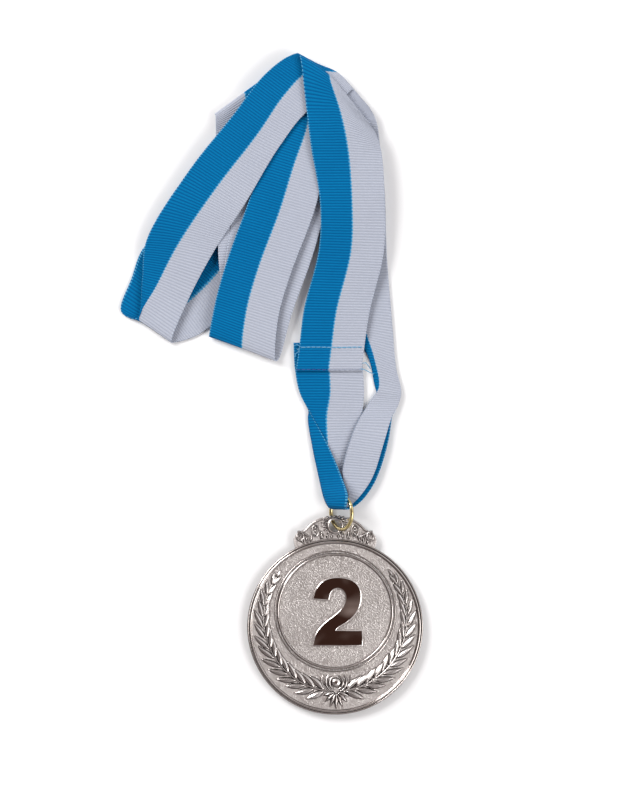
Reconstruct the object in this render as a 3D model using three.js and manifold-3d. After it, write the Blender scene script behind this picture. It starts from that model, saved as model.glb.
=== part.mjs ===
// A second-place prize medal on a two-colour neck ribbon, lying face up as it was laid down.
// A die-cast silver medal has a lug with a hole at its top. A brass jump ring goes through the
// hole, and a sewn loop of grosgrain ribbon goes through the jump ring.
//
// Millimetres, +Z up out of the medal's face, +Y from the medal towards its ribbon.
// The origin is the centre of the disc's flat back.

import * as THREE from 'three';
import { mergeVertices } from 'three/addons/utils/BufferGeometryUtils.js';
import Module from 'manifold-3d';

const wasm = await Module();
wasm.setup();

// ---- driving dimensions ----

// disc
const DISC_R = 32.5;
const DISC_T = 3.4;
const BACK_EDGE = 0.5; // rounding of the back's edge
const RIM_W = 1.7; // width of the raised bead round the edge
const FIELD_DEPTH = 0.75; // from the top of the rim down to the sandblasted field
const FIELD_Z = DISC_T - FIELD_DEPTH;
const SINK = 0.3; // how far raised work reaches down into the field

// inner double ring, set above the disc's centre
const INNER_Y = 5.7;
const BEAD_R = 21.1;
const BEAD_W = 1.1;
const BEAD_H = 0.6;
const LINE_R = 22.25;
const LINE_W = 0.45;
const LINE_H = 0.4;

// numeral, in the middle of the inner ring
const NUMERAL_W = 18.6;
const NUMERAL_H = 25.6;
const NUMERAL_UP = 1.0;
const NUMERAL_BEVEL = 0.3;
const NUMERAL_X = 1.0;

// wreath
const LEAVES = 12; // pairs of leaves on each branch
const LEAF_L = 6.2;
const LEAF_W = 1.9;
const LEAF_H = 0.7;
const STEM_W = 0.7;
const BUD_R = 1.9;
const BUD_DOWN = 4.9; // its middle from the inner ring's

// lug
const LUG_HALF = 15; // half its width where it meets the disc
const LUG_ROOT = 4.5; // how far it reaches into the disc
const LUG_T = 1.3;
const LUG_Z = DISC_T - LUG_T; // its underside: its face is level with the rim
const HOLE_Y = DISC_R + 4.8;
const COLLAR_W = 0.75;
const COLLAR_UP = 0.3;

// jump ring: its wire goes through the middle of the hole, leaning from the hole's axis
const WIRE_R = 0.65;
const RING_R = 6.2; // to the middle of the wire
const RING_TILT = new THREE.Euler(THREE.MathUtils.degToRad(2), THREE.MathUtils.degToRad(-52), 0);
const IN_HOLE = THREE.MathUtils.degToRad(235.3); // the place round the ring that is in the hole
const WIRE_SHIFT = 0.166; // the wire's middle from the hole's, along the ring's axis
const RING_GAP = THREE.MathUtils.degToRad(3); // where the wire's two ends meet
const RING_GAP_AT = THREE.MathUtils.degToRad(25);

// lug hole: as wide as the leaning wire needs through the lug and its collar
const HOLE_CLEARANCE = 0.17;
const ringPlace = (angle, r) => new THREE.Vector3(r * Math.cos(angle), r * Math.sin(angle), 0)
  .applyEuler(RING_TILT);
const wireLean = ringPlace(IN_HOLE + Math.PI / 2, 1).angleTo(new THREE.Vector3(0, 0, 1));
const HOLE_R = WIRE_R / Math.cos(wireLean) + (LUG_T + COLLAR_UP) / 2 * Math.tan(wireLean)
  + HOLE_CLEARANCE;
const HOLE = new THREE.Vector3(0, HOLE_Y, LUG_Z + LUG_T / 2);
const RING_CENTRE = HOLE.clone().sub(ringPlace(IN_HOLE, RING_R))
  .addScaledVector(new THREE.Vector3(0, 0, 1).applyEuler(RING_TILT), -WIRE_SHIFT);
const RING_TOP = RING_CENTRE.clone().add(ringPlace(Math.PI / 2, RING_R));

// ribbon
const RIBBON_T = 0.5;
const STEPS = 2; // steps between two stations

// stitching over the seam
const THREAD = 0.4;
const THREAD_LIFT = 0.25; // clear of the ribbon's face
const STITCH = 1.9; // length of one stitch

// ---- helpers ----

/** A closed geometry as a manifold solid. */
function solid(geometry) {
  const bare = geometry.clone();
  bare.deleteAttribute('normal');
  bare.deleteAttribute('uv');
  const merged = mergeVertices(bare, 1e-5);
  return new wasm.Manifold(new wasm.Mesh({
    numProp: 3,
    vertProperties: new Float32Array(merged.attributes.position.array),
    triVerts: new Uint32Array(merged.index.array),
  }));
}

/** A manifold solid as a geometry again. */
function geometryOf(manifold) {
  const mesh = manifold.getMesh();
  const geometry = new THREE.BufferGeometry();
  geometry.setAttribute('position', new THREE.BufferAttribute(mesh.vertProperties, 3));
  geometry.setIndex(new THREE.BufferAttribute(mesh.triVerts, 1));
  geometry.computeVertexNormals();
  return geometry;
}

/** A round profile turned about the Z axis; its points are (radius, z). */
function turned(points, segments) {
  const profile = points.map(([r, z]) => new THREE.Vector2(r, z));
  return new THREE.LatheGeometry(profile, segments).rotateX(Math.PI / 2);
}

/** A half-round bead of radius r, standing on z. */
function bead(r, width, height, z, segments) {
  const points = [[r - width / 2, z - SINK]];
  const arcSteps = 4;
  for (let i = 0; i <= arcSteps; i++) {
    const a = Math.PI * i / arcSteps;
    points.push([r - width / 2 * Math.cos(a), z + height * Math.sin(a)]);
  }
  points.push([r + width / 2, z - SINK], [r - width / 2, z - SINK]);
  return turned(points.reverse(), segments);
}

function material(color, roughness, metalness) {
  return new THREE.MeshStandardMaterial({ color, roughness, metalness });
}

function named(name, geometry, look) {
  const mesh = new THREE.Mesh(geometry, look);
  mesh.name = name;
  return mesh;
}

// ---- medal ----

function disc() {
  const points = [[0, 0], [DISC_R - BACK_EDGE, 0], [DISC_R, BACK_EDGE]];
  const arcSteps = 5;
  const rise = Math.min(FIELD_DEPTH, RIM_W / 2);
  for (let i = 0; i <= arcSteps; i++) {
    const a = Math.PI * i / arcSteps;
    points.push([DISC_R - RIM_W / 2 + RIM_W / 2 * Math.cos(a), DISC_T - rise + rise * Math.sin(a)]);
  }
  points.push([DISC_R - RIM_W - 0.1, FIELD_Z], [0, FIELD_Z]);
  return turned(points, 96);
}

/** The numeral's outline is drawn 1 wide and 1 high about its middle, then sized. */
function numeral() {
  const s = new THREE.Shape();
  s.moveTo(-0.5, 0.175);
  s.bezierCurveTo(-0.46, 0.4, -0.27, 0.5, 0.0, 0.5);
  s.bezierCurveTo(0.29, 0.5, 0.48, 0.4, 0.48, 0.22);
  s.bezierCurveTo(0.48, 0.02, 0.33, -0.1, 0.15, -0.18);
  s.bezierCurveTo(0.06, -0.215, 0.0, -0.24, -0.02, -0.265);
  s.lineTo(0.5, -0.265);
  s.lineTo(0.5, -0.5);
  s.lineTo(-0.5, -0.5);
  s.bezierCurveTo(-0.5, -0.33, -0.38, -0.22, -0.2, -0.12);
  s.bezierCurveTo(0.02, 0.0, 0.16, 0.07, 0.15, 0.2);
  s.bezierCurveTo(0.145, 0.27, 0.08, 0.325, -0.005, 0.325);
  s.bezierCurveTo(-0.09, 0.325, -0.155, 0.27, -0.165, 0.15);
  s.closePath();
  const width = NUMERAL_W - 2 * NUMERAL_BEVEL;
  const height = NUMERAL_H - 2 * NUMERAL_BEVEL;
  const sized = new THREE.Shape(s.getPoints(8).map((p) => new THREE.Vector2(p.x * width, p.y * height)));
  return new THREE.ExtrudeGeometry(sized, {
    depth: NUMERAL_UP + SINK - NUMERAL_BEVEL,
    bevelThickness: NUMERAL_BEVEL,
    bevelSize: NUMERAL_BEVEL,
    bevelSegments: 1,
    bevelEnabled: true,
  }).translate(NUMERAL_X, INNER_Y, FIELD_Z - SINK + 0.01);
}

/** The middle line of the right-hand branch at t from 0 at the bottom to 1 at its tip. */
function branchPoint(t) {
  const angle = THREE.MathUtils.degToRad(-84 + 127 * t);
  const ringReach = LINE_R + LINE_W / 2;
  const sideways = INNER_Y * Math.cos(angle);
  const inside = INNER_Y * Math.sin(angle) + Math.sqrt(ringReach * ringReach - sideways * sideways);
  const r = (inside + DISC_R - RIM_W) / 2;
  return new THREE.Vector3(r * Math.cos(angle), r * Math.sin(angle), FIELD_Z);
}

function branchHeading(t) {
  const step = branchPoint(t + 0.01).sub(branchPoint(t - 0.01));
  return Math.atan2(step.y, step.x);
}

/** One leaf: a long low diamond with a ridge, pointing along heading from its foot. */
function leaf(foot, heading, length) {
  return new THREE.OctahedronGeometry(1)
    .scale(length / 2, LEAF_W / 2, LEAF_H)
    .translate(length / 2, 0, 0)
    .rotateZ(heading)
    .translate(foot.x, foot.y, foot.z);
}

/** The right-hand branch's leaves and stem; side is -1 for the left-hand one. */
function branch(side) {
  const pieces = [];
  for (let i = 0; i < LEAVES; i++) {
    const t = (i + 0.3) / LEAVES;
    const length = LEAF_L * (1 - 0.58 * t);
    for (const lean of [38, -38]) {
      const heading = branchHeading(t) + THREE.MathUtils.degToRad(lean);
      const one = leaf(branchPoint(t), heading, length);
      pieces.push(side < 0 ? mirrored(one) : one);
    }
  }
  const line = [];
  for (let i = 0; i <= 6; i++) {
    const p = branchPoint(i / 6);
    line.push(new THREE.Vector3(side * p.x, p.y, p.z));
  }
  pieces.push(rod(new THREE.CatmullRomCurve3(line), STEM_W / 2, 24, 6));
  return pieces;
}

/** The geometry mirrored across x = 0, with its faces still pointing out. */
function mirrored(geometry) {
  const turnedOver = mergeVertices(geometry.clone().scale(-1, 1, 1).deleteAttribute('uv'));
  const index = turnedOver.index.array;
  for (let i = 0; i < index.length; i += 3) {
    [index[i], index[i + 1]] = [index[i + 1], index[i]];
  }
  return turnedOver;
}

/** A round rod of radius r along a curve. */
function rod(curve, r, steps, sides) {
  const section = new THREE.Shape();
  for (let i = 0; i < sides; i++) {
    const a = 2 * Math.PI * i / sides;
    const point = [r * Math.cos(a), r * Math.sin(a)];
    if (i === 0) section.moveTo(...point);
    else section.lineTo(...point);
  }
  section.closePath();
  return new THREE.ExtrudeGeometry(section, { steps, extrudePath: curve, bevelEnabled: false });
}

function lug() {
  const half = [[LUG_HALF, DISC_R - LUG_ROOT], [LUG_HALF - 0.1, HOLE_Y - 4.3], [LUG_HALF - 3.6, HOLE_Y - 1.9],
    [LUG_HALF - 5.8, HOLE_Y - 0.5], [LUG_HALF - 8.2, HOLE_Y + 1.9], [LUG_HALF - 9.6, HOLE_Y + 2.9],
    [LUG_HALF - 12.8, HOLE_Y + 3.4], [0, HOLE_Y + 3.7]];
  const right = half.map(([x, y]) => new THREE.Vector2(x, y));
  const left = half.slice(0, -1).reverse().map(([x, y]) => new THREE.Vector2(-x, y));
  const outline = new THREE.Shape([...right, ...left]);
  const hole = new THREE.Path();
  hole.absarc(0, HOLE_Y, HOLE_R, 0, 2 * Math.PI, true);
  outline.holes.push(hole);
  return new THREE.ExtrudeGeometry(outline, { depth: LUG_T, bevelEnabled: false, curveSegments: 14 })
    .translate(0, 0, LUG_Z);
}

/** The raised eyelet round the lug's hole. */
function collar() {
  const top = LUG_Z + LUG_T + COLLAR_UP;
  const outer = HOLE_R + COLLAR_W;
  const points = [[HOLE_R, LUG_Z], [outer, LUG_Z], [outer, top - 0.2], [outer - 0.2, top],
    [HOLE_R + 0.15, top], [HOLE_R, top - 0.15], [HOLE_R, LUG_Z]];
  return turned(points, 28).translate(0, HOLE_Y, 0);
}

/** Fan ribs round the eyelet and a scroll at each shoulder, as low beads on the lug. */
function lugOrnament() {
  const pieces = [];
  const top = LUG_Z + LUG_T;
  for (const degrees of [-40, -18, 4, 176, 198, 220]) {
    const a = THREE.MathUtils.degToRad(degrees);
    const reach = HOLE_R + COLLAR_W + 0.5;
    const foot = new THREE.Vector3(reach * Math.cos(a), HOLE_Y + reach * Math.sin(a), top);
    pieces.push(leaf(foot, a, 3.4));
  }
  for (const side of [-1, 1]) {
    pieces.push(new THREE.SphereGeometry(1.3, 12, 8).scale(1, 1, 0.6)
      .translate(side * (LUG_HALF - 3.2), HOLE_Y - 3.9, top));
  }
  return pieces;
}

function medalBody() {
  const bud = new THREE.SphereGeometry(BUD_R, 14, 10).scale(1, 1, 0.6)
    .translate(0, INNER_Y - BEAD_R - BUD_DOWN, FIELD_Z);
  const innerRing = [
    bead(BEAD_R, BEAD_W, BEAD_H, FIELD_Z, 64).translate(0, INNER_Y, 0),
    bead(LINE_R, LINE_W, LINE_H, FIELD_Z, 64).translate(0, INNER_Y, 0),
  ];
  const raised = [numeral(), ...innerRing, ...branch(1), ...branch(-1), bud];
  const plate = solid(lug()).add(solid(collar()));
  const bore = solid(new THREE.CylinderGeometry(HOLE_R, HOLE_R, 20, 28)
    .rotateX(Math.PI / 2).translate(0, HOLE_Y, 0));
  let body = solid(disc()).add(plate);
  for (const piece of [...raised, ...lugOrnament()]) body = body.add(solid(piece));
  return geometryOf(body.subtract(bore));
}

// ---- jump ring ----

class OpenRing extends THREE.Curve {
  getPoint(t, target = new THREE.Vector3()) {
    const a = RING_GAP_AT + RING_GAP / 2 + t * (2 * Math.PI - RING_GAP);
    return target.set(RING_R * Math.cos(a), RING_R * Math.sin(a), 0);
  }
}

// ---- ribbon ----

// Each station is four points across the band: its blue edge, the middle of the blue half, the
// line where blue meets white, and its white edge.

/** A flat station between two edge points, at one height. */
function flat(bx, by, wx, wy, z) {
  const blue = new THREE.Vector3(bx, by, z);
  const white = new THREE.Vector3(wx, wy, z);
  const across = (share) => blue.clone().lerp(white, share);
  return [blue, across(0.25), across(0.5), white];
}

/** A station whose four points are given one by one. */
function bent(...points) {
  return points.map(([x, y, z]) => new THREE.Vector3(x, y, z));
}

// Where the middle of the wire is at the ring's top, as the route below passes it.
const ROUTE_RING_TOP = new THREE.Vector3(2.3, 48.5, 5.82);

// The band's route, from its cut end on top of the seam, round the loop, to the end under the seam.
const ROUTE = [
  // up from the seam, on top of everything, to a slanting fold at the peak
  flat(-14.6, 94.5, 9.9, 94.5, 2.1),
  flat(-13.2, 104, 10.9, 104, 2.1),
  flat(-11.6, 117, 12.8, 116.5, 2.8),
  flat(-6, 139.5, 18, 138.5, 4.4),
  flat(-5.6, 157, 18.3, 157, 5.9),
  bent([-8.9, 177, 6.8], [-2, 177, 6.8], [4.8, 177, 6.7], [16.9, 176, 6.2]),
  bent([-10.6, 191, 7.5], [-4.3, 190.9, 7.6], [1.9, 190.5, 7.4], [14.6, 182.8, 6.4]),
  bent([-12.6, 208.6, 7.6], [-7.2, 205.6, 7.8], [-1.9, 201.8, 7.6], [12.5, 185.6, 6.2]),
  bent([-13, 210.6, 6.6], [-7.6, 207.6, 6.6], [-2.2, 203.4, 6.4], [12.6, 185.8, 5]),
  // left under the left-hand run, to a fold that shows at the upper left
  bent([-13, 210.2, 2.6], [-8, 206.8, 2.6], [-3, 202.4, 2.6], [12, 184.5, 2.6]),
  flat(-17.5, 208, -8, 180, 2.1),
  flat(-22.8, 205.2, -44.4, 189.4, 2.1),
  // down behind the left-hand and middle runs
  flat(-22.6, 204.9, -44.2, 189.1, 3),
  flat(-21.5, 190, -44.1, 183, 3),
  bent([-20, 158, 3], [-25.8, 157.5, 3], [-31.7, 157, 3.1], [-43.4, 156, 3.8]),
  bent([-19.5, 135, 2.7], [-25.4, 135, 2.7], [-31.2, 135, 2.8], [-43, 135, 3.2]),
  flat(-21, 124, -42, 126, 2.6),
  // back up under the middle run, over a slanting fold, to the peak
  flat(-21, 123, -42, 125.5, 3.2),
  flat(-14, 152.5, -37, 158.5, 3.7),
  flat(-8.5, 176.5, -31.5, 184.5, 3.8),
  flat(-30, 187, -8.5, 178.5, 4.5),
  flat(-23, 196, -3, 186.5, 4.5),
  flat(-17.5, 203, -0.5, 193, 4.5),
  // the middle run, down to its crisp double fold
  flat(-17.2, 203.4, -0.3, 193.4, 5.3),
  flat(-21.2, 189.5, 1, 181.5, 5.2),
  flat(-26.6, 173.7, -3.8, 166.7, 5.1),
  flat(-32, 156.8, -8.8, 150.2, 4.9),
  flat(-39.5, 136.5, -16.5, 130, 4.6),
  flat(-44, 121, -21, 114, 4.3),
  flat(-46.5, 108, -22, 98.5, 3),
  // back up behind itself
  flat(-46.5, 107.5, -20.9, 98.9, 1.7),
  bent([-40.5, 124.5, 1.6], [-34.4, 122.2, 1.7], [-28.2, 120, 1.9], [-16, 115.5, 2.5]),
  bent([-34, 143, 1.6], [-27.8, 140.9, 1.8], [-21.6, 138.8, 2.2], [-9.2, 134.5, 3.2]),
  bent([-29.5, 157.5, 1.7], [-23.3, 155.4, 1.9], [-17.2, 153.2, 2.4], [-4.8, 149, 3.5]),
  bent([-25.5, 170.5, 1.8], [-19.5, 168.8, 2], [-13.5, 167, 2.1], [-1.5, 163.5, 2.2]),
  // down to the left on the surface, to the bottom left loop
  flat(-25.3, 170.8, -1.3, 163.8, 0.7),
  flat(-27.6, 168.4, -3.9, 160.3, 0.5),
  flat(-48, 147, -27, 129, 0.35),
  bent([-69.5, 141.6, 0.35], [-58, 132.5, 0.35], [-48.5, 125.3, 0.35], [-40.5, 115.5, 0.35]),
  bent([-75.5, 128.5, 0.5], [-67, 122.5, 0.5], [-59, 116.5, 0.5], [-51.5, 107.5, 0.5]),
  bent([-79.2, 116.5, 0.85], [-74, 114, 0.85], [-68.5, 112, 0.85], [-59.8, 105.1, 0.8]),
  // the left-hand run, up to the peak
  bent([-73.2, 114, 1.9], [-72.9, 113.9, 1.9], [-72.4, 113.7, 1.9], [-60.5, 105.4, 1.9]),
  bent([-71.3, 128, 2.6], [-69, 127.2, 2.6], [-65.8, 126.3, 2.6], [-54.2, 121, 2.6]),
  bent([-69.7, 142.6, 4], [-64, 142.2, 4], [-57.8, 141.4, 3.9], [-44.8, 138.6, 3.9]),
  flat(-54, 168.3, -33.6, 155.6, 5.2),
  bent([-38, 188.4, 6], [-33.2, 185, 6], [-28.5, 181.8, 6], [-20.3, 177.6, 6]),
  flat(-27, 202.7, -9.8, 190.3, 6.3),
  bent([-18.5, 209.8, 6.2], [-14.5, 207.4, 6.2], [-10.2, 204.4, 6], [1.5, 194, 4.8]),
  bent([-13.9, 211.7, 4.6], [-7.2, 208, 4.4], [-0.6, 204.8, 4.2], [6.5, 198.4, 3.9]),
  // down behind the front run, to the right-hand side
  bent([-13.6, 211.2, 3.6], [-5.8, 207.2, 3.5], [0.9, 204.6, 3.4], [7.8, 197.2, 3.5]),
  bent([-13.2, 200, 2], [-5.8, 200, 2.2], [2, 199.6, 3], [12.6, 191.9, 3.4]),
  bent([-11, 188, 1.4], [-3, 188, 1.6], [5, 188, 2.2], [15.3, 186.5, 2.9]),
  flat(-9.2, 177.5, 16.7, 177, 1.4),
  flat(-6, 160.5, 18.4, 160.5, 1.1),
  flat(-5, 135.5, 19.2, 136.5, 1),
  bent([0.5, 113.5, 0.8], [5.5, 113.5, 0.8], [10.4, 113, 0.8], [21.2, 111.5, 0.8]),
  bent([17, 97.2, 0.4], [12.9, 98.4, 0.5], [14.8, 98.4, 1.1], [22.6, 95.6, 1.3]),
  bent([19.6, 87.4, 0.5], [15.1, 88.2, 0.6], [16.3, 88.4, 1.2], [24.5, 87, 1.5]),
  bent([22, 82.2, 0.5], [17.3, 82.3, 0.6], [12.8, 82.8, 1.1], [23.6, 82.6, 1.6]),
  bent([20.9, 76.3, 1.1], [15, 76.6, 1.3], [9.4, 77.2, 2], [21, 77.4, 2.2]),
  bent([19.5, 67.6, 1.9], [13, 68.8, 2], [6.2, 70.2, 2.4], [18.2, 68.6, 3]),
  bent([15, 54, 2.1], [8.8, 54.5, 2.3], [2.8, 55.5, 2.8], [13.7, 55, 3.3]),
  bent([9.8, 46.5, 2.1], [7.4, 47.5, 2.4], [5, 48.6, 2.8], [8.4, 47.4, 3.4]),
  // through the jump ring and up over its top, gathered, with the blue edge folded to the front
  bent([6.5, 44.2, 3.4], [3.6, 44.6, 2.2], [3.2, 45.2, 2.6], [5.2, 44.6, 3.2]),
  bent([4.4, 43.6, 6.2], [-1.6, 43.7, 3], [1.3, 43.6, 3.4], [3.4, 43.7, 4.6]),
  bent([4, 44.5, 10.4], [-2.8, 44.9, 4.4], [0.6, 44.9, 6.2], [2.9, 44.8, 8.4]),
  bent([4.5, 48.6, 11.2], [-4.1, 47.8, 3.6], [0.2, 48.6, 5.8], [3.4, 49, 8.9]),
  bent([2.5, 55.2, 4.8], [-5.7, 54.6, 2.1], [-2, 55, 2.2], [2.2, 55.8, 1.3]),
  bent([-2.7, 67.2, 2.7], [-8.3, 67, 1.4], [-2.6, 67.5, 1.3], [8.2, 68, 1]),
  bent([-8.8, 78.4, 1.6], [-9.8, 78.2, 1.2], [-2.9, 78, 1], [9.9, 78, 1]),
  bent([-13.1, 86.5, 1.1], [-7.5, 86.5, 1.1], [-1.7, 86.5, 1.1], [10.7, 86, 1.1]),
  bent([-14.9, 95.5, 1.15], [-8.5, 95.5, 1.15], [-2, 95.3, 1.15], [10.3, 95, 1.15]),
  bent([-15.4, 105, 1.15], [-9, 105, 1.15], [-2.5, 105, 1.15], [9.6, 105, 1.15]),
];

/** A closed band of even thickness through the stations. */
function band(stations, thickness, steps) {
  const lines = [0, 1, 2, 3].map((k) => new THREE.CatmullRomCurve3(stations.map((s) => s[k]), false, 'centripetal'));
  const count = (stations.length - 1) * steps + 1;
  const rows = [];
  for (let i = 0; i < count; i++) rows.push(lines.map((line) => line.getPoint(i / (count - 1))));
  const top = [];
  const bottom = [];
  rows.forEach((row, i) => row.forEach((point, k) => {
    const ahead = rows[Math.min(i + 1, count - 1)][k].clone().sub(rows[Math.max(i - 1, 0)][k]);
    const across = row[Math.min(k + 1, 3)].clone().sub(row[Math.max(k - 1, 0)]);
    const normal = ahead.cross(across).normalize().multiplyScalar(thickness / 2);
    top.push(point.clone().add(normal));
    bottom.push(point.clone().sub(normal));
  }));
  const index = [];
  const quad = (a, b, c, d) => index.push(a, b, c, a, c, d);
  const under = top.length;
  for (let i = 0; i < count - 1; i++) {
    for (let k = 0; k < 3; k++) {
      const a = 4 * i + k;
      quad(a, a + 4, a + 5, a + 1);
      quad(under + a, under + a + 1, under + a + 5, under + a + 4);
    }
    const first = 4 * i;
    const last = first + 3;
    quad(first, under + first, under + first + 4, first + 4);
    quad(last, last + 4, under + last + 4, under + last);
  }
  const end = 4 * (count - 1);
  for (let k = 0; k < 3; k++) {
    quad(k, k + 1, under + k + 1, under + k);
    quad(end + k, under + end + k, under + end + k + 1, end + k + 1);
  }
  const geometry = new THREE.BufferGeometry().setFromPoints([...top, ...bottom]);
  geometry.setIndex(index);
  geometry.computeVertexNormals();
  return geometry;
}

// ---- stitching ----

/** A row of stitches between two points on the ribbon's face: one thread, high in each stitch. */
function stitchRow(from, to) {
  const line = [];
  const count = Math.round(from.distanceTo(to) / STITCH);
  for (let i = 0; i <= 2 * count; i++) {
    const point = from.clone().lerp(to, i / (2 * count));
    point.z += (i % 2) * THREAD / 3;
    line.push(point);
  }
  return rod(new THREE.CatmullRomCurve3(line), THREAD / 2, 2 * count, 6);
}

// ---- assembly ----

const silver = material(0xb8b4b0, 0.3, 1);
const brass = material(0xc9b870, 0.25, 1);
const cloth = material(0x2f86bf, 0.85, 0);
const thread = material(0x79b7e0, 0.8, 0);

const group = new THREE.Group();
group.add(named('medal_body', medalBody(), silver));

const jumpRing = named('jump_ring', rod(new OpenRing(), WIRE_R, 48, 10), brass);
jumpRing.position.copy(RING_CENTRE);
jumpRing.rotation.copy(RING_TILT);
group.add(jumpRing);

// the band and its stitching hang on the ring's top, so they move with it
const soft = new THREE.Group();
soft.position.copy(RING_TOP).sub(ROUTE_RING_TOP);
soft.add(named('neck_ribbon', band(ROUTE, RIBBON_T, STEPS), cloth));
for (const [name, y, left, right] of [['upper_stitch_row', 103.3, -12, 10], ['lower_stitch_row', 95.4, -13.6, 9.6]]) {
  const z = ROUTE[0][0].z + RIBBON_T / 2 + THREAD / 2 + THREAD_LIFT;
  soft.add(named(name, stitchRow(new THREE.Vector3(left, y, z), new THREE.Vector3(right, y, z)), thread));
}
group.add(soft);

export default group;
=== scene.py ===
# %% [markdown]
# # A prize medal on a neck ribbon
# A cast silver medal lies face up. A brass jump ring goes through its lug, and a long loop of
# woven ribbon goes through the ring and lies folded above it. We build it piece by piece on top
# of a fixed frame, which already holds every size, place and joint.

# %% Load the frame
import bpy
import math
import numpy as np
from mathutils import Matrix, Vector


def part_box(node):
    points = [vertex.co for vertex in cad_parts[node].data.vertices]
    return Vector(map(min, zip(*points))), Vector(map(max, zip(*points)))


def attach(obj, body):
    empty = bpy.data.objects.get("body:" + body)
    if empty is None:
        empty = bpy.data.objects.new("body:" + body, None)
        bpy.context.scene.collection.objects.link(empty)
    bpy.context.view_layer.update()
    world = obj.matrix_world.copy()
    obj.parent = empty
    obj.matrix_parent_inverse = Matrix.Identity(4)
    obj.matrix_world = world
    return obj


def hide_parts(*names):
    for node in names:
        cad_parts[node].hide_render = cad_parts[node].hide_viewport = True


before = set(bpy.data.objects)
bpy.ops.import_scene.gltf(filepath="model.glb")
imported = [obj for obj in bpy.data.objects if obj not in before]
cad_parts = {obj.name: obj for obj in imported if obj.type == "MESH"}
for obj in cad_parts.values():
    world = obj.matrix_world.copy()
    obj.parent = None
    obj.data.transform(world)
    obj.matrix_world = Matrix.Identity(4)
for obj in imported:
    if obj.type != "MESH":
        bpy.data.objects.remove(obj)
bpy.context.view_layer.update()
MM = 0.001

# %% [markdown]
# ## The camera first
# The camera looks straight down at the medal. A long lens from far away keeps the disc round, and
# the view is a little wider than the object, with the ribbon's peak near the top.

# %% Camera
VIEW_H = 296.3 * MM
VIEW_CENTRE = Vector((-6.5 * MM, 83.8 * MM, 0.0))
CAMERA_UP = 1.3

lens = bpy.data.cameras.new("view_from_above")
lens.sensor_width = 36
lens.lens = lens.sensor_width * CAMERA_UP / VIEW_H
lens.clip_end = 10
camera = bpy.data.objects.new("view_from_above", lens)
camera.location = VIEW_CENTRE + Vector((0, 0, CAMERA_UP))
bpy.context.collection.objects.link(camera)
bpy.context.scene.camera = camera
print("lens", round(lens.lens, 1), "mm")

# %% [markdown]
# ## Small helpers
# Nearly every piece is a mesh made from lists of points and faces, so one helper turns those
# into an object, shades it smooth, and hands it to its body with its material.

# %% Mesh helpers
def add_object(name, data):
    thing = bpy.data.objects.new(name, data)
    bpy.context.collection.objects.link(thing)
    return thing


def make_piece(name, points, faces, material, body, slot):
    """A mesh object from points in millimetres, riding on a body."""
    mesh = bpy.data.meshes.new(name)
    mesh.from_pydata([tuple(c * MM for c in p) for p in points], [], faces)
    mesh.validate()
    piece = add_object(name, mesh)
    for one in material if isinstance(material, (list, tuple)) else [material]:
        mesh.materials.append(one)
    mesh.polygons.foreach_set("use_smooth", [True] * len(mesh.polygons))
    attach(piece, body)
    return piece


def smooth_by_angle(piece, degrees):
    """Keep edges sharper than this crisp."""
    with bpy.context.temp_override(active_object=piece, selected_editable_objects=[piece]):
        bpy.ops.object.shade_smooth_by_angle(angle=math.radians(degrees))


def grid_faces(rows, cols, wrap=False, start=0):
    """Quads of a grid of points stored row by row."""
    faces = []
    for i in range(rows if wrap else rows - 1):
        for j in range(cols - 1):
            a = start + i * cols + j
            b = start + ((i + 1) % rows) * cols + j
            faces.append((a, b, b + 1, a + 1))
    return faces


def lerp(a, b, t):
    return a + (b - a) * t


# %% [markdown]
# ## Finishes
# A finish is more than a colour. Cast silver has a sandblasted skin with tiny glinting pits in
# its field and a polish on what is raised, and both pick up small scratches and a little tarnish.
# What several materials share is a node group, built once, with its own inputs. Here the first
# one gives uneven patches of tone and the second one gives a fine grain.

# %% Node helpers
def new_material(name, rough, metallic, base):
    """A material with a Principled shader whose even values are set on its own sockets."""
    material = bpy.data.materials.new(name)
    material.use_nodes = True
    shader = material.node_tree.nodes["Principled BSDF"]
    shader.inputs["Roughness"].default_value = rough
    shader.inputs["Metallic"].default_value = metallic
    shader.inputs["Base Color"].default_value = (*base, 1)
    return material, material.node_tree, shader


def wire(tree, *pairs):
    for out, into in pairs:
        tree.links.new(out, into)


def math_node(tree, operation, a=None, b=None, c=None, clamp=False):
    """A Math node; each input is a number or another node's output."""
    node = tree.nodes.new("ShaderNodeMath")
    node.operation = operation
    node.use_clamp = clamp
    for socket, value in zip(node.inputs, (a, b, c)):
        if value is None:
            continue
        if isinstance(value, (int, float)):
            socket.default_value = value
        else:
            tree.links.new(value, socket)
    return node.outputs[0]


def mix_colours(tree, factor, a, b):
    """A colour mix; each of a and b is a colour or another node's output."""
    node = tree.nodes.new("ShaderNodeMix")
    node.data_type = "RGBA"
    for socket, value in ((node.inputs["Factor"], factor), (node.inputs[6], a), (node.inputs[7], b)):
        if isinstance(value, tuple):
            socket.default_value = (*value, 1)
        elif isinstance(value, (int, float)):
            socket.default_value = value
        else:
            tree.links.new(value, socket)
    return node.outputs[2]


def group_with(name, inputs, outputs):
    """An empty shader node group with float inputs and outputs given as {name: value}."""
    tree = bpy.data.node_groups.new(name, "ShaderNodeTree")
    for label, value in inputs.items():
        socket = tree.interface.new_socket(label, in_out="INPUT", socket_type="NodeSocketFloat")
        socket.default_value = value
    for label in outputs:
        tree.interface.new_socket(label, in_out="OUTPUT", socket_type="NodeSocketFloat")
    return tree, tree.nodes.new("NodeGroupInput"), tree.nodes.new("NodeGroupOutput")


def place_group(tree, group, **values):
    node = tree.nodes.new("ShaderNodeGroup")
    node.node_tree = group
    for label, value in values.items():
        socket = node.inputs[label.replace("_", " ")]
        if isinstance(value, (int, float)):
            socket.default_value = value
        else:
            tree.links.new(value, socket)
    return node


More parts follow.
